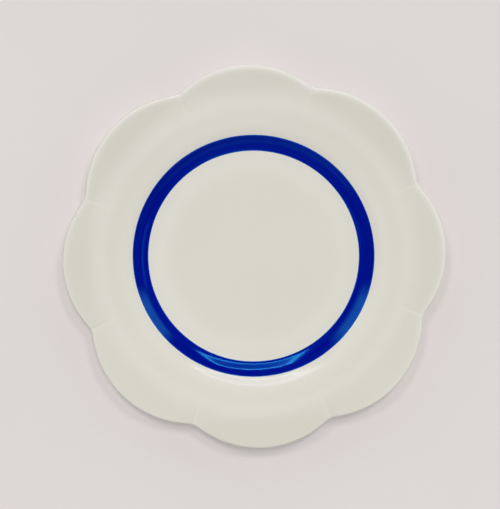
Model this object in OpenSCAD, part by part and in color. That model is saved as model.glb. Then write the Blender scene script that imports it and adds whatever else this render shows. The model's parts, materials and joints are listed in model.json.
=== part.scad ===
// Scalloped dessert plate: white glazed porcelain with eight petals, a blue band and a foot ring.
// Millimetres, +Z up. The origin is the centre of the foot's sole, and a petal's tip points along +X.
// Every surface is one family of closed rings. The glaze, the porcelain under it and the band on it are
// the same rings at different depths, so they meet face to face.

/* [Outline] */
// Overall width across two opposite petal tips
plate_w = 220; // [206:1:260]
// Number of petals
petals = 8; // [6:1:12]
// Radius of each petal's arc
petal_r = 56.3; // [50:0.1:62]
// Softening of the notch between two petals
notch_round = 1.5; // [0.5:0.1:2.5]

/* [Face] */
// Height of the well's floor above the table
floor_z = 6; // [5.2:0.1:9]
// Radius of the flat floor
floor_r = 46; // [36:0.5:50]
// Radius where the well's wall is steepest
wall_r = 67.8; // [66.6:0.1:70]
// Radius where the rim is flattest
rim_r = 88; // [84:0.5:92]
// Steepest angle of the well's wall
wall_angle = 31; // [15:1:38]
// Angle of the rim where it is flattest
rim_angle = 8.6; // [2:0.1:14]
// Angle of the flare at the lip
flare_angle = 13; // [10:0.5:18]

/* [Petals] */
// Radius where the creases between the petals begin
crease_r = 83; // [74:0.5:88]
// Height of a petal's middle above its edges, at the notches
petal_crown = 1.1; // [0:0.1:2]
// Extra depth of the crease line
crease_depth = 0.35; // [0:0.05:0.8]
// Half width of the crease line
crease_w = 2.2; // [1.2:0.1:3]

/* [Walls] */
// Thickness of the floor, glaze included
floor_t = 3.8; // [3:0.1:4.6]
// Thickness of the rim where it is flattest
rim_t = 3; // [2.4:0.1:4]
// Thickness of the rounded lip
lip_t = 2.5; // [1.8:0.1:3.4]
// Thickness of the glaze coats
glaze_t = 0.3; // [0.1:0.05:0.5]

/* [Foot] */
// Radius of the middle of the foot ring
foot_r = 61.5; // [56:0.1:62.4]
// Width of the foot ring between its glazed walls
foot_w = 3.4; // [2.8:0.1:4.4]
// Radius of the fillets beside the foot ring
foot_round = 1.4; // [0.8:0.1:1.6]
// Height of the bare sole, wiped clean of glaze
sole_h = 0.8; // [0.4:0.1:0.8]
// Step from the foot's glazed walls in to the sole
sole_step = 0.7; // [0.6:0.05:0.8]
// Rounding of the sole's edges
sole_round = 0.25; // [0.1:0.05:0.35]

/* [Blue band] */
// Inner radius of the band
band_r = 60.9; // [58:0.05:62]
// Width of the band
band_w = 9; // [4:0.05:9.5]
// Thickness of the fired-on colour
band_t = 0.12; // [0.05:0.01:0.2]

/* [Hidden] */

porcelain_colour = [0.87, 0.85, 0.8];
glaze_colour = [0.84, 0.83, 0.78];
blue_colour = [0.02, 0.09, 0.54];

// A petal spans this much on each side of its middle
half_petal = 180 / petals;
tip_r = plate_w / 2;
petal_centre_r = tip_r - petal_r;

// Where the points of a ring lie, as shares of half a petal, from its middle to the next petal's
side_shares = [0, 0.27, 0.53, 0.76, 0.92];
petal_shares = concat(side_shares, [1], [for (i = [len(side_shares) - 1 : -1 : 1]) 2 - side_shares[i]]);
angles = [for (petal = [0 : petals - 1]) for (share = petal_shares) (2 * petal + share) * half_petal];
sides = len(angles);

// The face's slope, as shares of the way between two radii and between two slopes
wall_shares = [[0, 0], [0.67, 0.2], [0.735, 0.43], [0.88, 0.66], [1, 1]];
shoulder_shares = [[0.144, 0.555], [0.371, 0.25], [0.5, 0.1], [0.7, 0.04], [1, 0]];
flare_shares = [[0.25, 0.12], [0.34, 0.35], [0.45, 0.88], [1, 1]];
slopes = concat(
    [[0, 0]],
    [for (s = wall_shares) [between(floor_r, wall_r, s[0]), s[1] * tan(wall_angle)]],
    [for (s = shoulder_shares)
        [between(wall_r, rim_r, s[0]), between(tan(rim_angle), tan(wall_angle), s[1])]],
    [for (s = flare_shares)
        [between(rim_r, tip_r, s[0]), between(tan(rim_angle), tan(flare_angle), s[1])]]
);

// One ring lies between the floor's edge and the band and some cross the band, in equal steps. Those of the
// rim lie at shares of the way from the wall to the tip
bend_share = 0.5;
band_steps = 4;
rim_shares = [0.11, 0.19, 0.33, 0.48, 0.6, 0.7, 0.8, 0.91];
lip_steps = 3;
back_lip_steps = 2;
sole_sides = 360;

foot_outer_r = foot_r + foot_w / 2;
foot_inner_r = foot_r - foot_w / 2;
sole_outer_r = foot_outer_r - sole_step;
sole_inner_r = foot_inner_r + sole_step;
// How far the sole reaches up into the foot ring
sole_bury = foot_round / 2;

function between(a, b, share) = a + (b - a) * share;
function clamp(x) = max(0, min(1, x));
function ease(x) = let (c = clamp(x)) c * c * (3 - 2 * c);

// Distance from the plate's axis to a petal's arc, at an angle from the petal's middle
function arc_at(w) = petal_centre_r * cos(w) + sqrt(pow(petal_r, 2) - pow(petal_centre_r * sin(w), 2));
function petal_angle(u) = abs(u - 2 * half_petal * round(u / (2 * half_petal)));
// The outline is the farther of a petal's arc and its neighbour's, with their corner softened
function outline(u) =
    let (w = petal_angle(u), own = arc_at(w), next = arc_at(2 * half_petal - w))
    own + notch_round * ln(1 + exp((next - own) / notch_round));
notch_r = outline(half_petal);

function slope_at(r) = lookup(r, slopes);
// Rise of the face from the axis to r. The slope runs straight between stations, so each adds a trapezium
function rise_to(r, i = 0) =
    i + 1 == len(slopes) || r <= slopes[i][0] ? 0 :
    let (end = min(r, slopes[i + 1][0]))
    (end - slopes[i][0]) * (slopes[i][1] + slope_at(end)) / 2 + rise_to(r, i + 1);
// How far the face drops beside a petal's middle: a crown, and a narrow crease where two petals meet
function petal_drop(r, u) =
    let (w = petal_angle(u), side = r * sin(half_petal - w))
    ease((r - crease_r) / (notch_r - crease_r))
        * (petal_crown * pow(w / half_petal, 2) + crease_depth * exp(-pow(side / crease_w, 2)));
function face_z(r, u) = floor_z + rise_to(r) - petal_drop(r, u);

walls = [[floor_r, floor_t], [rim_r, rim_t], [tip_r, lip_t]];
// One over the cosine of the face's angle
function lean(r) = sqrt(1 + pow(slope_at(r), 2));
function back_z(r, u) = face_z(r, u) - lookup(r, walls) * lean(r);

// A ring's radius, spread beyond crease_r so that it takes the outline's shape at the tip
function spread(r, u) =
    r <= crease_r ? r : between(crease_r, outline(u), (r - crease_r) / (tip_r - crease_r));
function spin(r, z, u) = [r * cos(u), r * sin(u), z];

// Rings on the face, the round lip, the back and the foot's walls, each at a depth under the surface
function face_ring(radius, depth) = [for (u = angles)
    let (r = spread(radius, u))
    spin(r + depth * slope_at(r) / lean(r), face_z(r, u) - depth / lean(r), u)];
function back_ring(radius, depth) = [for (u = angles)
    let (r = spread(radius, u))
    spin(r - depth * slope_at(r) / lean(r), back_z(r, u) + depth / lean(r), u)];
// The turn runs from 1 where the lip leaves the face, over 0 at the outline, to -1 at the back
function lip_ring(turn, depth) = [for (u = angles)
    let (
        r = outline(u) - lip_t / 2,
        tilt = atan(slope_at(r)),
        z = face_z(r, u) - lip_t / 2 * lean(r),
        a = turn > 0 ? turn * (90 + tilt) : turn * (90 - tilt),
        size = lip_t / 2 - depth
    )
    spin(r + size * cos(a), z + size * sin(a), u)];
function foot_ring(r, z) = [for (u = angles) spin(r, z, u)];

function face_rings(depth) = [
    face_ring(floor_r, depth),
    face_ring(between(floor_r, band_r, bend_share), depth),
    for (i = [0 : band_steps]) face_ring(band_r + band_w * i / band_steps, depth),
    for (share = rim_shares) face_ring(between(wall_r, tip_r, share), depth)
];
function lip_rings(depth) = [
    for (i = [lip_steps : -1 : 0]) lip_ring(i / lip_steps, depth),
    for (i = [1 : back_lip_steps]) lip_ring(-i / back_lip_steps, depth)
];
function back_rings(depth) = [
    for (i = [len(rim_shares) - 1 : -1 : 0]) back_ring(between(wall_r, tip_r, rim_shares[i]), depth),
    back_ring(wall_r, depth),
    back_ring(foot_outer_r + foot_round, depth),
    foot_ring(foot_outer_r - depth, back_z(foot_outer_r, 0) - foot_round),
    foot_ring(foot_outer_r - depth, sole_h)
];
// From the foot's inner wall up to the ceiling and in to the middle
function recess_rings(depth) = [
    foot_ring(foot_inner_r + depth, sole_h),
    foot_ring(foot_inner_r + depth, back_z(foot_inner_r, 0) - foot_round),
    back_ring(foot_inner_r - foot_round, depth),
    back_ring(floor_r, depth)
];

function reversed(list) = [for (i = [len(list) - 1 : -1 : 0]) list[i]];
function corner(ring, side) = ring * sides + side % sides;
// Two triangles for each four corners between a ring and the next. Rings from turn on run backwards along
// a surface that another solid meets, so they are split along the other diagonal to match it.
function strip(ring, next, turn) = [
    for (side = [0 : sides - 1])
        let (
            a = corner(ring, side),
            b = corner(ring, side + 1),
            c = corner(next, side + 1),
            d = corner(next, side)
        )
        each ring < turn ? [[a, b, c], [a, c, d]] : [[a, b, d], [b, c, d]]
];

// A solid from rings that start round a flat middle facing up and end round one facing down
module capped(rings, turn) {
    last = len(rings) - 1;
    polyhedron(
        points = [for (ring = rings) each ring],
        faces = [
            [for (side = [sides - 1 : -1 : 0]) corner(0, side)],
            for (ring = [0 : last - 1]) each strip(ring, ring + 1, turn),
            [for (side = [0 : sides - 1]) corner(last, side)]
        ],
        convexity = 6
    );
}

// A hoop from rings that go round its section and close on themselves
module hoop(rings, turn) {
    last = len(rings) - 1;
    polyhedron(
        points = [for (ring = rings) each ring],
        faces = [for (ring = [0 : last]) each strip(ring, (ring + 1) % len(rings), turn)],
        convexity = 6
    );
}

// The flat, bare sole of the foot, turned true
module sole() {
    rotate_extrude($fn = sole_sides) polygon([
        [sole_inner_r + sole_round, 0],
        [sole_outer_r - sole_round, 0],
        [sole_outer_r, sole_round],
        [sole_outer_r, sole_h + sole_bury],
        [sole_inner_r, sole_h + sole_bury],
        [sole_inner_r, sole_round]
    ]);
}

module porcelain_body() {
    rings = concat(
        face_rings(glaze_t), lip_rings(glaze_t), back_rings(glaze_t), recess_rings(glaze_t)
    );
    color(porcelain_colour) {
        capped(rings, len(rings));
        sole();
    }
}

module face_glaze() {
    outside = concat(face_rings(0), lip_rings(0), back_rings(0));
    inside = concat(face_rings(glaze_t), lip_rings(glaze_t), back_rings(glaze_t));
    color(glaze_colour) capped(concat(outside, reversed(inside)), len(outside));
}

module foot_glaze() {
    inside = reversed(recess_rings(glaze_t));
    // These rings run backwards first, so the turn is at the start
    color(glaze_colour) capped(concat(inside, recess_rings(0)), 0);
}

module blue_band() {
    lower = [for (i = [0 : band_steps]) face_ring(band_r + band_w * i / band_steps, 0)];
    upper = [for (i = [0 : band_steps]) face_ring(band_r + band_w * i / band_steps, -band_t)];
    color(blue_colour) hoop(concat(upper, reversed(lower)), len(upper));
}

porcelain_body();
face_glaze();
foot_glaze();
blue_band();
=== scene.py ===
"""Scalloped dessert plate: glazed porcelain with eight petals and a cobalt band, on a pale studio floor.

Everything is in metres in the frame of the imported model: +Z up, the sole of the foot on z = 0, and the tip of
a petal along +X. Every piece is a family of closed rings that follows one law of shape, PlateForm.
"""

import json
import logging
import math
from collections.abc import Mapping
from dataclasses import dataclass, field
from enum import Enum
from functools import cached_property
from typing import Any

import bpy
import numpy as np
from mathutils import Matrix, Vector

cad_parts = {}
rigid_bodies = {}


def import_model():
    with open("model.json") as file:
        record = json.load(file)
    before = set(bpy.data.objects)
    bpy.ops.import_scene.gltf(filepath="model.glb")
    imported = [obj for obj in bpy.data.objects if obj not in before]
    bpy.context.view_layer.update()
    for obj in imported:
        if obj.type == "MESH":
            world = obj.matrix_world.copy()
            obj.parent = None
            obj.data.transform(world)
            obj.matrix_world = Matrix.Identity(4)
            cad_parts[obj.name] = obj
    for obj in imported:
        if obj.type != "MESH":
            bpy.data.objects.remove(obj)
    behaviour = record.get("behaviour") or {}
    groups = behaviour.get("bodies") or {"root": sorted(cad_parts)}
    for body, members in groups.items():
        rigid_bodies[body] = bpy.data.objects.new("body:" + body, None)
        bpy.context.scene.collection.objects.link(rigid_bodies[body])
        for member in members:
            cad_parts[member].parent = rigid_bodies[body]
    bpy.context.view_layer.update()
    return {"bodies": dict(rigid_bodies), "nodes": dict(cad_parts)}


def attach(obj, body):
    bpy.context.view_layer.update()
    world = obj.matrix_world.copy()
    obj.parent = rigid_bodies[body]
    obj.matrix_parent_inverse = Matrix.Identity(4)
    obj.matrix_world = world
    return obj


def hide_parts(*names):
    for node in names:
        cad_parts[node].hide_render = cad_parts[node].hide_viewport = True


LOG = logging.getLogger("plate")
MM = 0.001
PHOTO_SIZE = (500, 509)
NOISE_MEAN = 0.5
# The Mix node's sockets for colours: its share, its two colours and its result
MIX_SHARE, MIX_FIRST, MIX_SECOND, MIX_RESULT = 0, 6, 7, 2
Array = np.ndarray
Pair = tuple[float, float]
Span = tuple[float, float, int]
Ring = tuple[float, float, float]
Wave = tuple[float, int, float]
Colour = tuple[float, float, float]
Inputs = Mapping[str | int, Any]
Socket = bpy.types.NodeSocket
Material = bpy.types.Material
Piece = bpy.types.Object


class Slot(Enum):
    """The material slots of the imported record."""

    BARE = "bare_porcelain"
    GLAZE = "white_glaze"
    BLUE = "cobalt_blue"


class Ends(Enum):
    """How a stack of rings is closed."""

    CAPPED = "capped"
    HOOP = "hoop"


def ease(x: Array) -> Array:
    """Smooth step from 0 to 1: 3c^2 - 2c^3, with c the value clamped to 0..1."""
    c = np.clip(x, 0.0, 1.0)
    return c * c * (3.0 - 2.0 * c)


def bell(x: Array, width: float) -> Array:
    """Bell curve, 1 where x is 0: exp(-(x / width)^2)."""
    return np.exp(-((x / width) ** 2))


def running_sum(y: Array, x: Array) -> Array:
    """Area under y from the first x on, in trapezoids."""
    return np.concatenate([[0.0], np.cumsum((y[1:] + y[:-1]) / 2 * np.diff(x))])


def spaced(*spans: Span) -> Array:
    """Radii in metres, evenly spaced over each span of a first radius, a last radius and a count, in mm."""
    return np.concatenate([np.linspace(first, last, count) for first, last, count in spans]) * MM


def bezier(start: Pair, corner: Pair, end: Pair, count: int) -> Array:
    """A fillet's profile: the quadratic curve (1-t)^2 start + 2t(1-t) corner + t^2 end.

    Args:
        start: Its first radius and height.
        corner: The radius and height of the corner that it rounds.
        end: Its last radius and height.
        count: Number of points.

    Returns:
        Rows of a radius and a height.
    """
    t = np.linspace(0.0, 1.0, count)[:, None]
    a, b, c = (np.array(p)[None, :] for p in (start, corner, end))
    return (1 - t) ** 2 * a + 2 * t * (1 - t) * b + t**2 * c


@dataclass(frozen=True)
class PlateForm:
    """The plate's law of shape: its outline, its profile and its walls.

    A bend is a share of the way out along the wall, shoulder or flare, and a share of the change from its
    flatter slope to its steeper one. The drift is how far each notch strays, in degrees.
    """

    width: float = 220 * MM
    petals: int = 8
    petal_radius: float = 57.0 * MM
    notch_round: float = 1.1 * MM
    drift: tuple[float, ...] = (-1.0, 1.0, 0.3, 1.3, -0.9, -0.2, 0.2, 0.8)
    floor_height: float = 6 * MM
    floor_radius: float = 46 * MM
    wall_radius: float = 67.8 * MM
    rim_radius: float = 88 * MM
    wall_slope: float = math.tan(math.radians(31))
    rim_slope: float = math.tan(math.radians(8.6))
    flare_slope: float = math.tan(math.radians(13))
    wall_bends: tuple[Pair, ...] = ((0.0, 0.0), (0.67, 0.2), (0.735, 0.455), (0.88, 0.66), (1.0, 1.0))
    shoulder_bends: tuple[Pair, ...] = ((0.144, 0.555), (0.325, 0.25), (0.445, 0.1), (0.7, 0.04), (1.0, 0.0))
    flare_bends: tuple[Pair, ...] = ((0.25, 0.12), (0.34, 0.35), (0.45, 0.88), (1.0, 1.0))
    blend: float = 0.3 * MM
    crease_radius: float = 83 * MM
    petal_crown: float = 1.1 * MM
    crease_depth: float = 0.22 * MM
    crease_width: float = 1.3 * MM
    floor_wall: float = 3.8 * MM
    rim_wall: float = 3 * MM
    lip_wall: float = 2.5 * MM
    lip_start: float = 107.4 * MM
    lip_end: float = 108.8 * MM
    lip_drop: float = 0.5
    points_per_half_petal: int = 30
    point_law: float = 1.7
    profile_points: int = 4001
    profile_margin: float = 4 * MM

    @property
    def half(self) -> float:
        """Half the angle that a petal spans."""
        return math.pi / self.petals

    @property
    def tip(self) -> float:
        """Radius of a petal's tip."""
        return self.width / 2

    @cached_property
    def angles(self) -> Array:
        """Nominal angles of a ring's points, closer together where two petals meet.

        Returns:
            half (1 - (1 - s)^law) from each petal's middle, with s the share of its points.
        """
        s = np.arange(self.points_per_half_petal) / self.points_per_half_petal
        side = self.half * (1.0 - (1.0 - s) ** self.point_law)
        back = 2 * self.half - np.append(side[1:], self.half)[::-1]
        petal = np.concatenate([side, back])
        return (petal[None, :] + 2 * self.half * np.arange(self.petals)[:, None]).ravel()

    @cached_property
    def bearings(self) -> Array:
        """The points' real angles: each notch strays by its drift, and the points between follow."""
        notches = self.half * (2 * np.arange(self.petals) + 1)
        return self.angles + np.interp(self.angles, notches, np.radians(self.drift), period=2 * math.pi)

    def stations(self) -> Array:
        """Places where the face's slope bends, from the well floor out to the tip.

        Returns:
            A row of radii and a row of slopes.
        """
        stretches = (
            (self.wall_bends, self.floor_radius, self.wall_radius, 0.0, self.wall_slope),
            (self.shoulder_bends, self.wall_radius, self.rim_radius, self.rim_slope, self.wall_slope),
            (self.flare_bends, self.rim_radius, self.tip, self.rim_slope, self.flare_slope),
        )
        return np.array([
            (inner + (outer - inner) * way, flat + (steep - flat) * share)
            for bends, inner, outer, flat, steep in stretches
            for way, share in bends
        ]).T

    @cached_property
    def profile(self) -> tuple[Array, Array, Array]:
        """The face along a petal's middle.

        The slope, straight between its stations, is averaged over a short blend, so that the reflections in
        the glaze have no kinks. The height is its running sum.

        Returns:
            Radii, slopes and heights.
        """
        r = np.linspace(0.0, self.tip + self.profile_margin, self.profile_points)
        straight = np.interp(r, *self.stations())
        total = running_sum(straight, r)
        rise = np.interp(r + self.blend, r, total) - np.interp(r - self.blend, r, total)
        slope = np.where(r > self.tip, straight, rise / (2 * self.blend))
        return r, slope, self.floor_height + running_sum(slope, r)

    def arc(self, w: Array) -> Array:
        """Radius of a petal's arc at angle w from its middle: c cos w + sqrt(a^2 - (c sin w)^2)."""
        centre = self.tip - self.petal_radius
        return centre * np.cos(w) + np.sqrt(self.petal_radius**2 - (centre * np.sin(w)) ** 2)

    def petal_angle(self, u: Array) -> Array:
        """Angle from the middle of the nearest petal."""
        return np.abs(u - 2 * self.half * np.round(u / (2 * self.half)))

    def outline(self, u: Array) -> Array:
        """Radius of the rim: two neighbouring arcs run into each other, k ln(e^(own/k) + e^(next/k))."""
        w, k = self.petal_angle(u), self.notch_round
        return k * np.logaddexp(self.arc(w) / k, self.arc(2 * self.half - w) / k)

    def slope(self, r: Array) -> Array:
        """Slope of the face at a radius."""
        return np.interp(r, self.profile[0], self.profile[1])

    def lean(self, r: Array) -> Array:
        """One over the cosine of the face's angle."""
        return np.sqrt(1.0 + self.slope(r) ** 2)

    def beside_crease(self, r: Array, u: Array) -> Array:
        """Distance from the line where two petals meet: r sin(half - w), with w the petal's angle."""
        return r * np.sin(self.half - self.petal_angle(u))

    def petal_share(self, r: Array) -> Array:
        """How fully the petals have formed: an eased way from 0 at the crease radius to 1 at the notches."""
        notch = float(self.outline(np.array(self.half)))
        return ease((r - self.crease_radius) / (notch - self.crease_radius))

    def face_height(self, r: Array, u: Array) -> Array:
        """Height of the face: the profile, less the petals' crown and the crease between them.

        Args:
            r: Radii.
            u: Nominal angles.

        Returns:
            profile - share (crown (w / half)^2 + crease e^(-(distance / width)^2)), with w the angle.
        """
        crown = self.petal_crown * (self.petal_angle(u) / self.half) ** 2
        crease = self.crease_depth * bell(self.beside_crease(r, u), self.crease_width)
        return np.interp(r, self.profile[0], self.profile[2]) - self.petal_share(r) * (crown + crease)

    def wall(self, r: Array) -> Array:
        """Thickness of the porcelain and its glaze, which runs straight from floor to rim and to the tip."""
        stations = (self.floor_radius, self.rim_radius, self.tip)
        return np.interp(r, stations, (self.floor_wall, self.rim_wall, self.lip_wall))

    def back_height(self, r: Array, u: Array) -> Array:
        """Height of the back: the face less the wall's thickness, measured square to the face."""
        return self.face_height(r, u) - self.wall(r) * self.lean(r)

    def spread(self, radius: Array) -> Array:
        """Radii of nominal rings' points. From the crease radius out they stretch to end on the outline."""
        stretch = (self.outline(self.angles) - self.crease_radius) / (self.tip - self.crease_radius)
        return radius + np.maximum(radius - self.crease_radius, 0.0) * (stretch - 1.0)

    def turn(self, radius: Array, height: Array) -> Array:
        """Grid of points, rings by points by three, with x = r cos b and y = r sin b for every bearing b."""
        r, z, b = np.broadcast_arrays(radius, height, self.bearings)
        return np.stack([r * np.cos(b), r * np.sin(b), z], axis=-1)

    def lifted(self, r: Array, height: Array, lift: Array | float) -> Array:
        """Grid of points lifted square to the face: r - lift slope / lean and height + lift / lean."""
        lean = self.lean(r)
        return self.turn(r - lift * self.slope(r) / lean, height + lift / lean)

    def face(self, radii: Array, depth: float = 0.0) -> Array:
        """Rings of nominal radii on the face, sunk square to it by a depth."""
        r = self.spread(radii[:, None])
        return self.lifted(r, self.face_height(r, self.angles), -depth)

    def back(self, radii: Array, depth: float = 0.0) -> Array:
        """Rings of nominal radii on the back, sunk square to it by a depth."""
        r = self.spread(radii[:, None])
        return self.lifted(r, self.back_height(r, self.angles), depth)

    def lip(self, turns: Array, depth: float = 0.0) -> Array:
        """Rings round the lip: one curve from the face out to the outline, and one from there in to the back.

        With s the turn's size, the radius is edge - reach s^2 and the height is the quadratic curve
        s^2 level + 2s(1-s) corner + (1-s)^2 middle, where the corner is the surface carried on to the edge.

        Args:
            turns: 1 where the lip leaves the face, 0 at the outline and -1 where it meets the back.
            depth: Depth below the glazed surface.

        Returns:
            The grid of points.
        """
        u, t = self.angles, turns[:, None]
        s = np.abs(t)
        edge = self.outline(u)
        start = self.spread(np.where(t > 0, self.lip_start, self.lip_end))
        reach = edge - start
        sunk = depth * self.lean(start)
        level = np.where(t > 0, self.face_height(start, u) - sunk, self.back_height(start, u) + sunk)
        corner = level + self.slope(start) * reach
        middle = self.face_height(edge, u) - self.lip_drop * self.lip_wall * self.lean(edge)
        height = s**2 * level + 2 * s * (1 - s) * corner + (1 - s) ** 2 * middle
        return self.turn(edge - depth - reach * s**2, height)

    def revolve(self, profile: Array) -> Array:
        """Rings of a profile of radii and heights, turned round the axis."""
        return self.turn(profile[:, :1], profile[:, 1:])


@dataclass(frozen=True)
class RingMesh:
    """A closed mesh from a stack of rings: each four neighbours make a face that looks outwards."""

    name: str
    rings: Array
    ends: Ends
    attributes: Mapping[str, Array] = field(default_factory=dict)

    def quads(self) -> Array:
        """Faces between neighbouring rings.

        Returns:
            Rows of four point numbers.
        """
        count, sides = self.rings.shape[:2]
        last = count if self.ends is Ends.HOOP else count - 1
        ring, side = np.arange(last)[:, None], np.arange(sides)[None, :]
        after, beside = (ring + 1) % count * sides, (side + 1) % sides
        ring = ring * sides
        return np.stack([ring + side, after + side, after + beside, ring + beside], -1).reshape(-1, 4)

    def fans(self) -> Array:
        """Triangles from the first and the last ring to two middle points, numbered after all the others.

        Returns:
            Rows of three point numbers.
        """
        count, sides = self.rings.shape[:2]
        first = np.arange(sides)
        last = first + (count - 1) * sides
        middle = np.full(sides, count * sides)
        start = np.stack([middle, first, np.roll(first, -1)], -1)
        end = np.stack([middle + 1, np.roll(last, -1), last], -1)
        return np.concatenate([start, end])

    def build(self) -> Piece:
        """Writes the grid, its faces, its end caps and its attributes into a mesh.

        Returns:
            The smooth object, at the origin.
        """
        points = self.rings.reshape(-1, 3)
        extra = {name: values.reshape(-1) for name, values in self.attributes.items()}
        quads, fans = self.quads(), np.zeros((0, 3), int)
        if self.ends is Ends.CAPPED:
            fans = self.fans()
            middles = self.rings[[0, -1]].mean(axis=1)
            middles[:, :2] = 0.0
            points = np.concatenate([points, middles])
            extra = {name: np.append(values, [values[0], values[-1]]) for name, values in extra.items()}
        order = np.concatenate([quads.ravel(), fans.ravel()])
        starts = np.concatenate([np.arange(len(quads)) * 4, len(quads) * 4 + np.arange(len(fans)) * 3])
        mesh = bpy.data.meshes.new(self.name)
        mesh.vertices.add(len(points))
        mesh.vertices.foreach_set("co", points.astype(np.float32).ravel())
        mesh.loops.add(len(order))
        mesh.loops.foreach_set("vertex_index", order.astype(np.int32))
        mesh.polygons.add(len(starts))
        mesh.polygons.foreach_set("loop_start", starts.astype(np.int32))
        mesh.polygons.foreach_set("use_smooth", np.ones(len(starts), bool))
        for name, values in extra.items():
            mesh.attributes.new(name, "FLOAT", "POINT").data.foreach_set("value", values.astype(np.float32))
        mesh.update(calc_edges=True)
        mesh.validate()
        piece = bpy.data.objects.new(self.name, mesh)
        bpy.context.scene.collection.objects.link(piece)
        return piece


class Value:
    """A number socket. Sums and products with it add Math nodes to its tree."""

    def __init__(self, kit: "NodeKit", socket: Socket) -> None:
        self.kit, self.socket = kit, socket

    def apply(self, operation: str, *given: "Value | float") -> "Value":
        """A Math node's result, with this value as the first input and the given ones after it."""
        return self.kit.maths(operation, self, *given)

    def __add__(self, other: "Value | float") -> "Value":
        """This plus other."""
        return self.apply("ADD", other)

    __radd__ = __add__

    def __sub__(self, other: "Value | float") -> "Value":
        """This less other."""
        return self.apply("SUBTRACT", other)

    def __rsub__(self, other: float) -> "Value":
        """Other less this."""
        return self.kit.maths("SUBTRACT", other, self)

    def __mul__(self, other: "Value | float") -> "Value":
        """This times other."""
        return self.apply("MULTIPLY", other)

    __rmul__ = __mul__


@dataclass(frozen=True)
class Grain:
    """Cloudy noise about NOISE_MEAN: its features to the metre, their detail and how rough that is."""

    scale: float
    detail: float
    roughness: float = 0.5


class NodeKit:
    """Adds nodes to one tree."""

    def __init__(self, tree: bpy.types.NodeTree) -> None:
        """Takes a tree and clears it."""
        self.tree = tree
        tree.nodes.clear()

    def add(self, kind: str, settings: Mapping[str, Any], inputs: Inputs) -> bpy.types.Node:
        """Adds a node.

        Args:
            kind: The node's type.
            settings: Its properties, set first.
            inputs: A value, a Value or a socket for each named or numbered input.

        Returns:
            The node.
        """
        node = self.tree.nodes.new(kind)
        for name, setting in settings.items():
            setattr(node, name, setting)
        for name, given in inputs.items():
            if isinstance(given, Value):
                given = given.socket
            if isinstance(given, Socket):
                self.tree.links.new(given, node.inputs[name])
            else:
                node.inputs[name].default_value = given
        return node

    def maths(self, operation: str, *given: "Value | float") -> Value:
        """A Math node on two values or more."""
        node = self.add("ShaderNodeMath", {"operation": operation}, dict(enumerate(given)))
        return Value(self, node.outputs[0])

    def value(self, kind: str, settings: Mapping[str, Any], inputs: Inputs, output: str | int) -> Value:
        """Adds a node and wraps one of its outputs."""
        return Value(self, self.add(kind, settings, inputs).outputs[output])

    def coordinates(self) -> Socket:
        """Object coordinates, in metres."""
        return self.add("ShaderNodeTexCoord", {}, {}).outputs["Object"]

    def attribute(self, name: str) -> Value:
        """A number that the piece's mesh carries."""
        return self.value("ShaderNodeAttribute", {"attribute_name": name}, {}, "Fac")

    def noise(self, where: Socket, grain: Grain) -> Value:
        """Noise of a grain, from 0 to 1."""
        inputs = {"Vector": where, "Scale": grain.scale, "Detail": grain.detail, "Roughness": grain.roughness}
        return self.value("ShaderNodeTexNoise", {}, inputs, "Fac")

    def step(self, x: Value, low: float, high: float) -> Value:
        """Smooth step of x from 0 at low to 1 at high."""
        inputs = {"Value": x, "From Min": low, "From Max": high}
        return self.value("ShaderNodeMapRange", {"interpolation_type": "SMOOTHSTEP"}, inputs, "Result")

    def mix(self, share: Value, first: Colour | Socket, second: Colour | Socket) -> Socket:
        """Colour between first and second by share."""
        inputs = {MIX_SHARE: share, MIX_FIRST: opaque(first), MIX_SECOND: opaque(second)}
        return self.add("ShaderNodeMix", {"data_type": "RGBA"}, inputs).outputs[MIX_RESULT]

    def bump(self, height: Value, distance: float, under: Socket | None = None) -> Socket:
        """Normal bent by a height of 0 to 1 that stands for a distance, over a normal bent already."""
        inputs = {"Height": height, "Distance": distance} | ({"Normal": under} if under else {})
        return self.add("ShaderNodeBump", {}, inputs).outputs["Normal"]


def opaque(colour: Colour | Socket) -> tuple[float, ...] | Socket:
    """A colour with full alpha; a socket stays as it is."""
    return (*colour, 1.0) if isinstance(colour, tuple) else colour


def surface(name: str) -> tuple[Material, NodeKit]:
    """Makes an empty material with nodes.

    Args:
        name: The material's name.
    """
    material = bpy.data.materials.new(name)
    material.use_nodes = True
    return material, NodeKit(material.node_tree)


def principled(kit: NodeKit, inputs: Inputs) -> None:
    """Adds the Principled shader with these inputs and joins it to the output."""
    shader = kit.add("ShaderNodeBsdfPrincipled", {}, inputs)
    kit.add("ShaderNodeOutputMaterial", {}, {"Surface": shader.outputs[0]})


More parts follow.
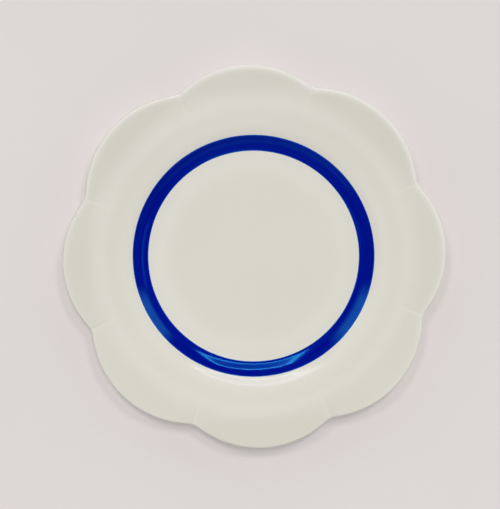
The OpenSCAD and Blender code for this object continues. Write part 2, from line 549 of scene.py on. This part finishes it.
@dataclass(frozen=True)
class WhiteGlaze:
    """Clear glaze over white porcelain: creamy white, glossy, faintly clouded and faintly wavy."""

    # The glaze's two tones: the share between them is painted shade and light, with random cloud
    lighter_tone: Colour = (0.732, 0.704, 0.636)
    darker_tone: Colour = (0.642, 0.628, 0.545)
    # Lighter tone that paints light onto the lip, by the piece's lip attribute
    bare: Colour = (0.79, 0.765, 0.715)
    depth: float = 0.1
    # Weight of the painted shade and light in the mix of the two tones
    painted_shading_weight: float = 0.8
    cloud_depth: float = 0.35
    roughness: float = 0.13
    cloud_roughness: float = 0.05
    index: float = 1.5
    shine: float = 0.24
    cloud: Grain = Grain(26.0, 4.0, 0.55)
    wave: Grain = Grain(42.0, 1.0)
    wave_height: float = 0.016 * MM
    peel: Grain = Grain(620.0, 1.0)
    peel_height: float = 0.0006 * MM

    def make(self) -> Material:
        """Builds the material. The glaze's painted shading and the lip's painted light are the piece's
        attributes.

        Returns:
            The material.
        """
        material, kit = surface(Slot.GLAZE.value)
        where = kit.coordinates()
        cloud = kit.noise(where, self.cloud) - NOISE_MEAN
        wave, peel = kit.noise(where, self.wave), kit.noise(where, self.peel)
        # Share of the darker tone: painted shading, random cloud and a base
        depth = kit.attribute("painted_shading") * self.painted_shading_weight + cloud * self.cloud_depth + self.depth
        principled(kit, {
            # Base colour: painted light on the lip, over the mix of the two tones
            "Base Color": kit.mix(kit.attribute("lip"), kit.mix(depth, self.lighter_tone, self.darker_tone), self.bare),
            "Roughness": self.roughness + cloud * self.cloud_roughness,
            "Normal": kit.bump(peel, self.peel_height, kit.bump(wave, self.wave_height)),
            "IOR": self.index,
            "Specular IOR Level": self.shine,
        })
        return material


@dataclass(frozen=True)
class BarePorcelain:
    """Unglazed, ground porcelain: creamy and dull, with fine grain and the grinding wheel's turning marks."""

    light: Colour = (0.66, 0.63, 0.56)
    dark: Colour = (0.50, 0.46, 0.38)
    roughness: float = 0.68
    grain_roughness: float = 0.2
    grain: Grain = Grain(1500.0, 3.0)
    grain_height: float = 0.02 * MM
    stain: Grain = Grain(90.0, 4.0, 0.6)
    stain_range: Pair = (0.35, 0.75)
    grain_share: float = 0.5
    ring_scale: float = 1100.0
    ring_warp: float = 2.0
    ring_detail: float = 2.0
    ring_height: float = 0.012 * MM

    def make(self) -> Material:
        """Builds the material.

        Returns:
            The material.
        """
        material, kit = surface(Slot.BARE.value)
        where = kit.coordinates()
        grain, stain = kit.noise(where, self.grain), kit.noise(where, self.stain)
        kind = {"wave_type": "RINGS", "rings_direction": "Z"}
        turning = {"Scale": self.ring_scale, "Distortion": self.ring_warp, "Detail": self.ring_detail}
        rings = kit.value("ShaderNodeTexWave", kind, {"Vector": where, **turning}, "Fac")
        tone = kit.step(stain + (grain - NOISE_MEAN) * self.grain_share, *self.stain_range)
        principled(kit, {
            "Base Color": kit.mix(tone, self.light, self.dark),
            "Roughness": self.roughness + (grain - NOISE_MEAN) * self.grain_roughness,
            "Normal": kit.bump(rings, self.ring_height, kit.bump(grain, self.grain_height)),
        })
        return material


@dataclass(frozen=True)
class CobaltBand:
    """Banded cobalt under gloss: dark blue, streaked along the stroke, lighter where the colour lies thinner.
    """

    darker_tone: Colour = (0.0004, 0.0015, 0.235)
    lighter_tone: Colour = (0.0008, 0.012, 0.31)
    rim: Colour = (0.004, 0.11, 0.52)
    rim_range: Pair = (0.435, 0.495)
    gleam: Colour = (0.04, 0.45, 0.75)
    index: float = 1.6
    roughness: float = 0.075
    streak: Grain = Grain(1.0, 3.0, 0.6)
    streak_along: float = 16.0
    streak_across: float = 17.0
    streak_range: Pair = (0.35, 0.75)
    streak_share: float = 0.75
    streak_roughness: float = 0.02
    streak_height: float = 0.003 * MM

    def make(self) -> Material:
        """Builds the material. The share across the band is the piece's attribute.

        Returns:
            The material.
        """
        material, kit = surface(Slot.BLUE.value)
        across = kit.attribute("across")
        lane = kit.add("ShaderNodeCombineXYZ", {}, {"Z": across * self.streak_across})
        stroke = {0: kit.coordinates(), "Scale": self.streak_along}
        along = kit.add("ShaderNodeVectorMath", {"operation": "SCALE"}, stroke)
        both = {0: along.outputs[0], 1: lane.outputs[0]}
        path = kit.add("ShaderNodeVectorMath", {"operation": "ADD"}, both)
        streak = kit.noise(path.outputs[0], self.streak)
        edge = kit.step((across - 0.5).apply("ABSOLUTE"), *self.rim_range)
        tone = kit.step(streak, *self.streak_range) * self.streak_share
        principled(kit, {
            "Base Color": kit.mix(edge, kit.mix(tone, self.darker_tone, self.lighter_tone), self.rim),
            "Roughness": self.roughness + streak * self.streak_roughness,
            "Normal": kit.bump(streak, self.streak_height),
            "IOR": self.index,
            "Specular Tint": opaque(self.gleam),
        })
        return material


@dataclass
class GlazeCoats:
    """The two coats of glaze, one over the face, lip and back, and one inside the foot ring.

    Their colour carries painted light in rings at the well's edge, on the shoulder and before the flare, along
    the creases and on the lip, and painted shade on the flare and on the petal towards -Y. Each painted light
    ring is its radius, its reach and how much lighter it paints the glaze.
    """

    form: PlateForm
    foot: "FootRing"
    thickness: float = 0.3 * MM
    last_ring: float = 106.9 * MM
    lip_points: int = 11
    hidden_lip_points: int = 4
    bead_points: int = 5
    # Painted shade and light of the glaze's colour, as shares of the darker tone
    shading_base: float = 0.5
    painted_light_rings: tuple[Ring, ...] = ((53 * MM, 6 * MM, 0.35), (74 * MM, 5 * MM, 0.5), (88 * MM, 3.2 * MM, 0.2))
    flare_start: float = 91 * MM
    flare_reach: float = 4.5 * MM
    flare_painted_shade: float = 0.15
    crease_reach: float = 0.7 * MM
    crease_painted_light: float = 0.42
    shaded_petal_bearing: float = math.radians(270)
    shaded_petal_width: float = 0.36
    shaded_petal_start: float = 88 * MM
    shaded_petal_reach: float = 12 * MM
    shaded_petal_weight: float = 0.9
    shading_cap: float = 1.3
    # Painted light on the lip, strongest towards +Y
    lip_light_reach: float = 2.6 * MM
    lip_light_level: float = 0.5
    lip_light_swing: float = 0.6
    lip_light_bearing: float = math.radians(22)

    def face_radii(self) -> Array:
        """Nominal radii of the face's rings, closest where the profile bends."""
        outermost = (99.7, self.last_ring / MM, 11)
        return spaced((8, 40, 5), (44, 58, 8), (58.5, 73, 30), (74, 92, 13), (93, 99, 16), outermost)

    def hidden_radii(self) -> Array:
        """Nominal radii of the rings on the side that is never seen."""
        return np.array([46, 58, 61, 64, 66, 68, 70, 73, 78, 85, 90, 95, 98, 102, self.last_ring / MM]) * MM

    def back_radii(self) -> Array:
        """Nominal radii of the back's rings, from the lip in to the foot."""
        outermost, innermost = (self.last_ring / MM, 99, 7), (72, self.foot.fillet_outer / MM, 7)
        return spaced(outermost, (98, 92, 7), (90, 74, 7), innermost)

    def shell(self, depth: float, radii: Array, lip_points: int) -> Array:
        """Rings over the face, round the lip, along the back and down the foot's outer wall, at one depth.

        Args:
            depth: Depth below the glazed surface.
            radii: Nominal radii of the face's rings.
            lip_points: Number of rings on each half of the lip.

        Returns:
            The grid of points.
        """
        half = np.linspace(1.0, 0.0, lip_points)
        return np.concatenate([
            self.form.face(radii, depth),
            self.form.lip(half, depth),
            self.form.lip(-half[::-1][1:], depth),
            self.form.back(self.back_radii(), depth),
            self.foot.outer_wall(depth),
        ])

    def bead(self, outer: float, inner: float) -> Array:
        """Rings of the glaze's rounded lower edge: half a circle that just touches the glaze line.

        Args:
            outer: Radius on the side that the rings come from.
            inner: Radius on the side that they go on to.

        Returns:
            The grid of points.
        """
        a = np.linspace(0.0, math.pi, self.bead_points)
        size = (outer - inner) / 2
        radius = (outer + inner) / 2 + size * np.cos(a)
        return self.form.revolve(np.stack([radius, self.foot.glaze_line + abs(size) * (1 - np.sin(a))], -1))

    def painted_shading(self, rings: Array) -> Array:
        """Painted shade and light in the glaze's colour, higher for darker.

        Args:
            rings: The grid of points.

        Returns:
            base + flare's painted shade + shaded petal - painted light rings - creases' painted light for each
            point, kept between 0 and the cap.
        """
        r = np.hypot(rings[..., 0], rings[..., 1])
        u = self.form.angles
        crease = np.sqrt(self.form.petal_share(r)) * bell(self.form.beside_crease(r, u), self.crease_reach)
        off_shaded_petal = np.angle(np.exp(1j * (u - self.shaded_petal_bearing)))
        shaded_petal = ease((r - self.shaded_petal_start) / self.shaded_petal_reach) * bell(off_shaded_petal, self.shaded_petal_width)
        flare = ease((r - self.flare_start) / self.flare_reach)
        ring_light = sum(share * bell(r - radius, reach) for radius, reach, share in self.painted_light_rings)
        # Painted shade on the flare and on one petal, less painted light in rings and along the creases
        level = self.shading_base + self.flare_painted_shade * flare + self.shaded_petal_weight * shaded_petal
        return np.clip(level - ring_light - self.crease_painted_light * crease, 0.0, self.shading_cap)

    def lip(self, rings: Array) -> Array:
        """Painted light on the lip: a lighter tone near the outline, strongest towards +Y and none towards -Y.

        Args:
            rings: The grid of points.

        Returns:
            max(level + swing sin(u + bearing), 0) e^(-(distance to the outline / reach)^2) for each point.
        """
        r = np.hypot(rings[..., 0], rings[..., 1])
        u = self.form.angles
        side = np.maximum(self.lip_light_level + self.lip_light_swing * np.sin(u + self.lip_light_bearing), 0.0)
        return side * bell(self.form.outline(u) - r, self.lip_light_reach)

    def build_face(self) -> Piece:
        """The coat over the face: its seen side, its beaded edge on the foot and its hidden side.

        Returns:
            The object.
        """
        outer = self.shell(0.0, self.face_radii(), self.lip_points)[:-1]
        inner = self.shell(self.thickness, self.hidden_radii(), self.hidden_lip_points)[:-1]
        bead = self.bead(self.foot.outer, self.foot.outer - self.thickness)
        rings = np.concatenate([outer, bead, inner[::-1]])
        painted_light_and_shade = {"painted_shading": self.painted_shading(rings), "lip": self.lip(rings)}
        return RingMesh("face_glaze_coat", rings, Ends.CAPPED, painted_light_and_shade).build()

    def build_foot(self) -> Piece:
        """The coat inside the foot ring: its hidden side, its beaded edge and its seen side.

        Returns:
            The object.
        """
        hidden = self.foot.recess(self.thickness)[1:]
        seen = self.foot.recess(0.0)[1:]
        bead = self.bead(self.foot.inner + self.thickness, self.foot.inner)
        rings = np.concatenate([hidden[::-1], bead, seen])
        return RingMesh("foot_glaze_coat", rings, Ends.CAPPED, {"painted_shading": self.painted_shading(rings)}).build()

    def dress(self, pieces: Mapping[str, Piece], glaze: Material) -> None:
        """Gives both coats their material, body and node."""
        for node, piece in pieces.items():
            settle(piece, glaze, Slot.GLAZE, node)


@dataclass
class FootRing:
    """The foot ring under the well, with its ground sole."""

    form: PlateForm
    radius: float = 61.5 * MM
    width: float = 3.4 * MM
    round: float = 1.4 * MM
    glaze_line: float = 0.8 * MM
    sole_step: float = 0.7 * MM
    sole_round: float = 0.25 * MM
    sole_points: int = 5
    fillet_points: int = 8

    @property
    def outer(self) -> float:
        """Radius of the outer wall."""
        return self.radius + self.width / 2

    @property
    def inner(self) -> float:
        """Radius of the inner wall."""
        return self.radius - self.width / 2

    @property
    def fillet_outer(self) -> float:
        """Radius where the outer fillet meets the back."""
        return self.outer + self.round

    def back_at(self, r: float, depth: float) -> Pair:
        """Radius and height of a point of the back inside the petals, at a depth."""
        point = self.form.back(np.array([r]), depth)[0, 0]
        return float(point[0]), float(point[2])

    def ceiling_radii(self) -> Array:
        """Radii of the rings above the foot ring's recess, from its fillet in."""
        return np.array([57, 54, 50, 46, 42, 30, 15]) * MM

    def wall(self, radius: float, side: int, depth: float) -> Array:
        """Profile of one wall of the ring, from the glaze line up, and of its fillet to the back.

        Args:
            radius: The wall's radius.
            side: 1 for the outer wall and -1 for the inner one.
            depth: Depth below the glazed surface.

        Returns:
            Rows of a radius and a height.
        """
        wall = radius - side * depth
        height = self.back_at(radius, 0.0)[1]
        straight = np.array([[wall, self.glaze_line], [wall, self.glaze_line + self.sole_round]])
        start, end = (wall, height - self.round), self.back_at(radius + side * self.round, depth)
        return np.concatenate([straight, bezier(start, (wall, height), end, self.fillet_points)])

    def outer_wall(self, depth: float) -> Array:
        """Rings of the outer fillet, less the one on the back, and of the wall down to the glaze line."""
        return self.form.revolve(self.wall(self.outer, 1, depth)[-2::-1])

    def recess(self, depth: float) -> Array:
        """Rings of the inner wall from the glaze line up, its fillet and the ceiling in to the middle."""
        wall = self.form.revolve(self.wall(self.inner, -1, depth))
        return np.concatenate([wall, self.form.back(self.ceiling_radii(), depth)])

    def sole(self) -> Array:
        """Rings of the bare sole, whose edges to the outer and the inner wall are quarter circles.

        Returns:
            The grid of points.
        """
        out, back = self.outer - self.sole_step, self.inner + self.sole_step
        a = np.linspace(0.0, math.pi / 2, self.sole_points)
        nearer, farther = self.sole_round * (1 - np.cos(a)), self.sole_round * (1 - np.sin(a))
        edge_out, edge_in = np.stack([out - nearer, farther], -1), np.stack([back + farther, nearer], -1)
        ledge_out, ledge_in = np.array([[out, self.glaze_line]]), np.array([[back, self.glaze_line]])
        return self.form.revolve(np.concatenate([ledge_out, edge_out, edge_in, ledge_in]))


@dataclass
class PorcelainBody:
    """The pressed porcelain under the glaze; only its sole is bare."""

    form: PlateForm
    foot: FootRing
    coats: GlazeCoats

    def build(self) -> Piece:
        """Rings over the face, lip, back, foot and sole, at the depth of the glaze.

        Returns:
            The object.
        """
        depth = self.coats.thickness
        over = self.coats.shell(depth, self.coats.hidden_radii(), self.coats.hidden_lip_points)
        rings = np.concatenate([over, self.foot.sole(), self.foot.recess(depth)])
        return RingMesh("porcelain", rings, Ends.CAPPED).build()

    def dress(self, piece: Piece, bare: Material) -> None:
        """Gives the porcelain its material, body and node."""
        settle(piece, bare, Slot.BARE, "porcelain_body")


@dataclass
class BlueBand:
    """The band of cobalt on the well's wall: a fine film with rounded edges, sunk a little into the glaze.

    Its edges waver as a brush held to a turning plate leaves them. A wave is its size in mm, its count round
    the plate and its phase, and a count of 1 shifts the edge.
    """

    form: PlateForm
    inner: float = 60.66 * MM
    width: float = 8.95 * MM
    film: float = 0.04 * MM
    flatness: int = 30
    sunk: float = 0.05 * MM
    inner_shift: tuple[Wave, ...] = ((-0.17, 1, math.pi / 2), (0.02, 1, 0.0))
    outer_shift: tuple[Wave, ...] = ((-0.28, 1, math.pi / 2), (0.26, 1, 0.0))
    inner_waves: tuple[Wave, ...] = ((0.025, 3, 1.1), (0.015, 7, 2.0), (0.01, 17, 0.0))
    outer_waves: tuple[Wave, ...] = ((0.025, 2, 4.0), (0.015, 9, 0.6), (0.01, 23, 1.0))
    rows: int = 45
    crowding: float = 0.55

    def stray(self, *waves: Wave) -> Array:
        """How far an edge strays outwards at angle u: the sum of its waves' size sin(count u + phase)."""
        return sum(size * MM * np.sin(count * self.form.angles + phase) for size, count, phase in waves)

    def build(self) -> Piece:
        """Rings over the film, closer together towards its edges, and back under it.

        The film's height is film sqrt(1 - |2s - 1|^flatness), with s the share across.

        Returns:
            The object.
        """
        even = np.linspace(0.0, 1.0, self.rows)[:, None]
        s = ease(even) * self.crowding + even * (1 - self.crowding)
        inside = self.stray(*self.inner_shift, *self.inner_waves)
        outside = self.stray(*self.outer_shift, *self.outer_waves)
        r = self.inner + self.width * s + (1 - s) * inside + s * outside
        height = self.film * np.sqrt(1 - np.abs(2 * s - 1) ** self.flatness)
        upper, lower = self.on_face(r, height), self.on_face(r[1:-1], -self.sunk)[::-1]
        across = np.concatenate([s, s[1:-1][::-1]]) + np.zeros_like(inside)
        return RingMesh("cobalt_band", np.concatenate([upper, lower]), Ends.HOOP, {"across": across}).build()

    def on_face(self, r: Array, height: Array | float) -> Array:
        """Points at radii that vary round the plate, raised square to the face."""
        return self.form.lifted(r, self.form.face_height(r, self.form.angles), height)

    def dress(self, piece: Piece, blue: Material) -> None:
        """Gives the band its material, body and node."""
        settle(piece, blue, Slot.BLUE, "blue_band")


def settle(piece: Piece, material: Material, slot: Slot, node: str) -> None:
    """Dresses a piece and ties it to the frame.

    Args:
        piece: The finished mesh object.
        material: Its finish.
        slot: The record's slot of that finish; not used.
        node: The CAD node that it stands for.
    """
    piece.data.materials.append(material)
    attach(piece, "root")
    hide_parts(node)
    LOG.info("%s stands for %s: %d faces, %s", piece.name, node, len(piece.data.polygons), material.name)


def toward(azimuth: float, zenith: float) -> Vector:
    """Unit vector of an azimuth, from +X towards +Y, and an angle from straight up, in degrees."""
    a, z = math.radians(azimuth), math.radians(zenith)
    return Vector((math.sin(z) * math.cos(a), math.sin(z) * math.sin(a), math.cos(z)))


class Sky:
    """The direction in which a ray leaves for the world, measured in the ways that the lights need.

    Where a ray meets the ceiling, one metre up, it counts as no lower than the lowest height.
    """

    lowest = 0.01

    def __init__(self, kit: NodeKit) -> None:
        """Works out the bearings, and the place where the ray meets the ceiling.
        """
        self.kit = kit
        self.way = kit.add("ShaderNodeTexCoord", {}, {}).outputs["Generated"]
        axes = kit.add("ShaderNodeSeparateXYZ", {}, {0: self.way})
        x, self.y, z = (Value(kit, socket) for socket in axes.outputs)
        self.zenith = self.degrees(z)
        self.bearing = (self.y.apply("ARCTAN2", x) * math.degrees(1), self.zenith)
        height = z.apply("MAXIMUM", self.lowest)
        self.ceiling = (x.apply("DIVIDE", height), self.y.apply("DIVIDE", height))

    def degrees(self, cosine: Value) -> Value:
        """The angle in degrees that has a cosine."""
        return cosine.apply("ARCCOSINE") * math.degrees(1)

    def away(self, azimuth: float, zenith: float) -> Value:
        """Angle in degrees between the ray and a direction."""
        ways = {0: self.way, 1: toward(azimuth, zenith)}
        return self.degrees(self.kit.value("ShaderNodeVectorMath", {"operation": "DOT_PRODUCT"}, ways, 1))

    def span(self, x: Value, ends: Pair, soft: float) -> Value:
        """1 between two ends and 0 beyond them, each blurred by soft."""
        low, high = ends
        return self.kit.step(x, low - soft, low + soft) * (1 - self.kit.step(x, high - soft, high + soft))


class Measure(Enum):
    """How a panel's two spans are measured."""

    CEILING = "metres along X and Y on a ceiling one metre up"
    BEARING = "degrees of azimuth and from straight up"


@dataclass(frozen=True)
class Panel:
    """A soft box as the glaze mirrors it: a window of directions, with a brighter frame.

    The shear slants the panel: it is the change along for each unit across.
    """

    measure: Measure
    across: Pair
    along: Pair
    glow: float
    soft: float
    frame: float = 0.0
    frame_glow: float = 0.0
    shear: float = 0.0

    def light(self, sky: Sky) -> Value:
        """The panel's radiance: the glow, with the frame's added along the edges, and 0 outside."""
        outer = self.window(sky, 0.0) * (self.glow + self.frame_glow)
        return outer - self.window(sky, self.frame) * self.frame_glow if self.frame else outer

    def window(self, sky: Sky, inset: float) -> Value:
        """1 inside the panel and 0 outside.

        Args:
            sky: The ray's direction.
            inset: How far inside its edges the window ends.

        Returns:
            The share of the window that the ray sees.
        """
        u, v = sky.ceiling if self.measure is Measure.CEILING else sky.bearing
        (left, right), (near, far) = self.across, self.along
        columns = sky.span(u, (left + inset, right - inset), self.soft)
        return columns * sky.span(v - u * self.shear, (near + inset, far - inset), self.soft)


@dataclass(frozen=True)
class Lobe:
    """A round, soft-edged brightness of the room, or a dimness if its glow is negative."""

    azimuth: float
    zenith: float
    reach: Pair
    glow: float

    def light(self, sky: Sky) -> Value:
        """The glow out to the first reach, in degrees from its middle, fading to 0 at the second."""
        return (1 - sky.kit.step(sky.away(self.azimuth, self.zenith), *self.reach)) * self.glow


@dataclass(frozen=True)
class Sun:
    """A soft light from one direction, as a share of the light that a flat floor gets."""

    name: str
    azimuth: float
    zenith: float
    spread: float
    share: float
    tint: Colour = (1.016, 0.987, 1.003)

    def hang(self) -> None:
        """Adds the lamp. Its mirror image is drawn by the panels, so glossy rays don't see it."""
        lamp = bpy.data.lights.new(self.name, "SUN")
        lamp.angle = math.radians(self.spread)
        lamp.color = self.tint
        lamp.energy = math.pi * self.share / math.cos(math.radians(self.zenith))
        holder = bpy.data.objects.new(self.name, lamp)
        holder.location = toward(self.azimuth, self.zenith)
        holder.rotation_mode = "QUATERNION"
        holder.rotation_quaternion = holder.location.to_track_quat("Z", "Y")
        holder.visible_glossy = False
        holder.visible_camera = False
        bpy.context.scene.collection.objects.link(holder)


@dataclass
class Studio:
    """The pale floor, the soft lights, the world and the camera.

    Ranges and spans of the lights are in degrees from straight up. The camera leans from straight above by
    two angles, towards -X and towards +Y, and rolls to the right, all in degrees.
    """

    backdrop: Colour = (0.72, 0.68, 0.67)
    floor_radius: float = 9.0
    floor_middle: float = 0.05
    floor_thickness: float = 0.01
    floor_gap: float = 0.05 * MM
    floor_rings: int = 14
    floor_sides: int = 64
    floor_cloud: Grain = Grain(4.0, 5.0, 0.6)
    floor_range: Pair = (0.3, 0.7)
    floor_shades: Pair = (0.988, 1.012)
    floor_roughness: float = 0.9
    cloud_roughness: float = 0.1
    suns: tuple[Sun, ...] = (
        Sun("overhead_light", 90.0, 1.0, 5.0, 0.42),
        Sun("top_light", 90.0, 10.0, 8.0, 0.15),
        Sun("left_light", 122.0, 24.0, 10.0, 0.11),
        Sun("right_light", 58.0, 24.0, 10.0, 0.11),
    )
    room: float = 0.1
    low_range: Pair = (72.0, 84.0)
    low_glow: float = 0.6
    cool: Colour = (0.7, 0.84, 1.0)
    panels: tuple[Panel, ...] = (
        Panel(Measure.CEILING, (-0.21, 0.44), (0.468, 0.872), 1.3, 0.015, 0.055, 10.5, shear=0.15),
        Panel(Measure.CEILING, (-0.21, 0.44), (0.795, 0.867), 7.0, 0.02, shear=0.15),
        Panel(Measure.BEARING, (133.0, 161.0), (36.0, 64.0), 3.0, 7.0),
        Panel(Measure.BEARING, (13.0, 36.0), (44.0, 76.0), 2.7, 5.0),
        Panel(Measure.BEARING, (-22.0, 10.0), (38.0, 41.5), 1.2, 1.5),
        Panel(Measure.BEARING, (-145.0, -40.0), (46.0, 57.0), 0.4, 6.0),
    )
    lobes: tuple[Lobe, ...] = (
        Lobe(-43.0, 3.0, (14.0, 20.0), 1.1),
        Lobe(135.0, 3.6, (7.0, 12.0), -1.1),
        Lobe(-72.0, 19.0, (4.0, 12.0), 1.3),
        Lobe(-95.0, 55.0, (20.0, 46.0), 0.15),
        Lobe(200.0, 25.0, (3.0, 8.0), 0.4),
        Lobe(102.0, 31.6, (3.0, 9.0), 1.2),
    )
    shade: Colour = (0.94, 1.05, 0.99)
    haze_span: Pair = (52.0, 79.0)
    haze_soft: float = 7.0
    haze_level: float = 0.64
    haze_tilt: float = 0.272
    lean: Pair = (2.194, 2.046)
    roll: float = 2.55
    aim: tuple[float, float, float] = (-2.45 * MM, 1.24 * MM, 12 * MM)
    distance: float = 2.0
    pixels_per_metre: float = 1741.0
    sensor: float = 36.0
    clip: Pair = (0.01, 40.0)

    def build_floor(self) -> None:
        """A round floor under the plate, of rings, closest at the middle."""
        radii = np.geomspace(self.floor_middle, self.floor_radius, self.floor_rings)[:, None]
        u = np.linspace(0, 2 * math.pi, self.floor_sides, endpoint=False)[None, :]
        top = np.stack([radii * np.cos(u), radii * np.sin(u), np.full_like(radii * u, -self.floor_gap)], -1)
        under = top[::-1] - np.array([0.0, 0.0, self.floor_thickness])
        floor = RingMesh("studio_floor", np.concatenate([top, under]), Ends.CAPPED).build()
        material, kit = surface("pale_floor")
        cloud = kit.noise(kit.coordinates(), self.floor_cloud)
        darker, lighter = (tuple(c * shade for c in self.backdrop) for shade in self.floor_shades)
        principled(kit, {
            "Base Color": kit.mix(kit.step(cloud, *self.floor_range), darker, lighter),
            "Roughness": self.floor_roughness + (cloud - NOISE_MEAN) * self.cloud_roughness,
            "Specular IOR Level": 0.0,
        })
        floor.data.materials.append(material)
        floor.data.shade_flat()
        LOG.info("floor: radius %.1f m", self.floor_radius)

    def build_lights(self) -> None:
        """Hangs the suns and paints the world, which the camera, dull faces and gloss see differently."""
        for sun in self.suns:
            sun.hang()
        world = bpy.data.worlds.new("studio")
        bpy.context.scene.world = world
        world.use_nodes = True
        kit = NodeKit(world.node_tree)
        sky = Sky(kit)
        path = kit.add("ShaderNodeLightPath", {}, {}).outputs
        views = ((self.shade, self.haze(sky)), (self.backdrop, 1.0), (self.cool, self.gleam(sky)))
        dull, shown, mirrored = (
            kit.add("ShaderNodeBackground", {}, {"Color": opaque(colour), "Strength": strength}).outputs[0]
            for colour, strength in views
        )
        first = kit.add("ShaderNodeMixShader", {}, {0: path["Is Camera Ray"], 1: dull, 2: shown}).outputs[0]
        second = kit.add("ShaderNodeMixShader", {}, {0: path["Is Glossy Ray"], 1: first, 2: mirrored})
        kit.add("ShaderNodeOutputWorld", {}, {"Surface": second.outputs[0]})
        world.cycles.sampling_method = "NONE"
        LOG.info("lights: %d suns, %d panels, %d lobes", len(self.suns), len(self.panels), len(self.lobes))

    def haze(self, sky: Sky) -> Value:
        """What the room sends to dull surfaces: a pale band low round its walls, brighter towards +Y."""
        level = self.haze_level + sky.y * self.haze_tilt
        return sky.span(sky.zenith, self.haze_span, self.haze_soft) * level

    def gleam(self, sky: Sky) -> Value:
        """What the glaze mirrors: the dim room, brighter low down, with the panels and lobes added.

        Args:
            sky: The ray's direction.

        Returns:
            The radiance, never below 0.
        """
        total = self.room + sky.kit.step(sky.zenith, *self.low_range) * self.low_glow
        for light in (*self.panels, *self.lobes):
            total = total + light.light(sky)
        return total.apply("MAXIMUM", 0.0)

    def build_camera(self) -> None:
        """Places the camera almost straight above, with a petal's tip nearly to the right."""
        across, along = (math.tan(math.radians(a)) for a in self.lean)
        back = Vector((-across, along, 1.0)).normalized()
        turn = math.radians(self.roll)
        right = (-back).cross(Vector((math.sin(turn), math.cos(turn), 0.0))).normalized()
        camera = bpy.data.objects.new("camera", bpy.data.cameras.new("camera"))
        camera.data.sensor_width = self.sensor
        camera.data.lens = self.pixels_per_metre * self.distance * self.sensor / max(PHOTO_SIZE)
        camera.data.clip_start, camera.data.clip_end = self.clip
        placed = Matrix((right, back.cross(right), back)).transposed().to_4x4()
        placed.translation = Vector(self.aim) + back * self.distance
        camera.matrix_world = placed
        bpy.context.scene.collection.objects.link(camera)
        bpy.context.scene.camera = camera
        LOG.info("camera: lens %.0f mm, %.1f m away", camera.data.lens, self.distance)


def main() -> None:
    """Loads the frame, builds and dresses each piece, and sets up the studio."""
    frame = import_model()
    logging.basicConfig(level=logging.INFO, format="%(message)s")
    for leftover in set(bpy.data.objects) - {*frame["nodes"].values(), *frame["bodies"].values()}:
        bpy.data.objects.remove(leftover)

    form = PlateForm()
    foot = FootRing(form)
    coats = GlazeCoats(form, foot)
    body = PorcelainBody(form, foot, coats)
    band = BlueBand(form)

    body.dress(body.build(), BarePorcelain().make())
    coats.dress({"face_glaze": coats.build_face(), "foot_glaze": coats.build_foot()}, WhiteGlaze().make())
    band.dress(band.build(), CobaltBand().make())

    studio = Studio()
    studio.build_floor()
    studio.build_lights()
    studio.build_camera()
    bpy.context.scene.view_settings.view_transform = "Standard"


if __name__ == "__main__":
    main()
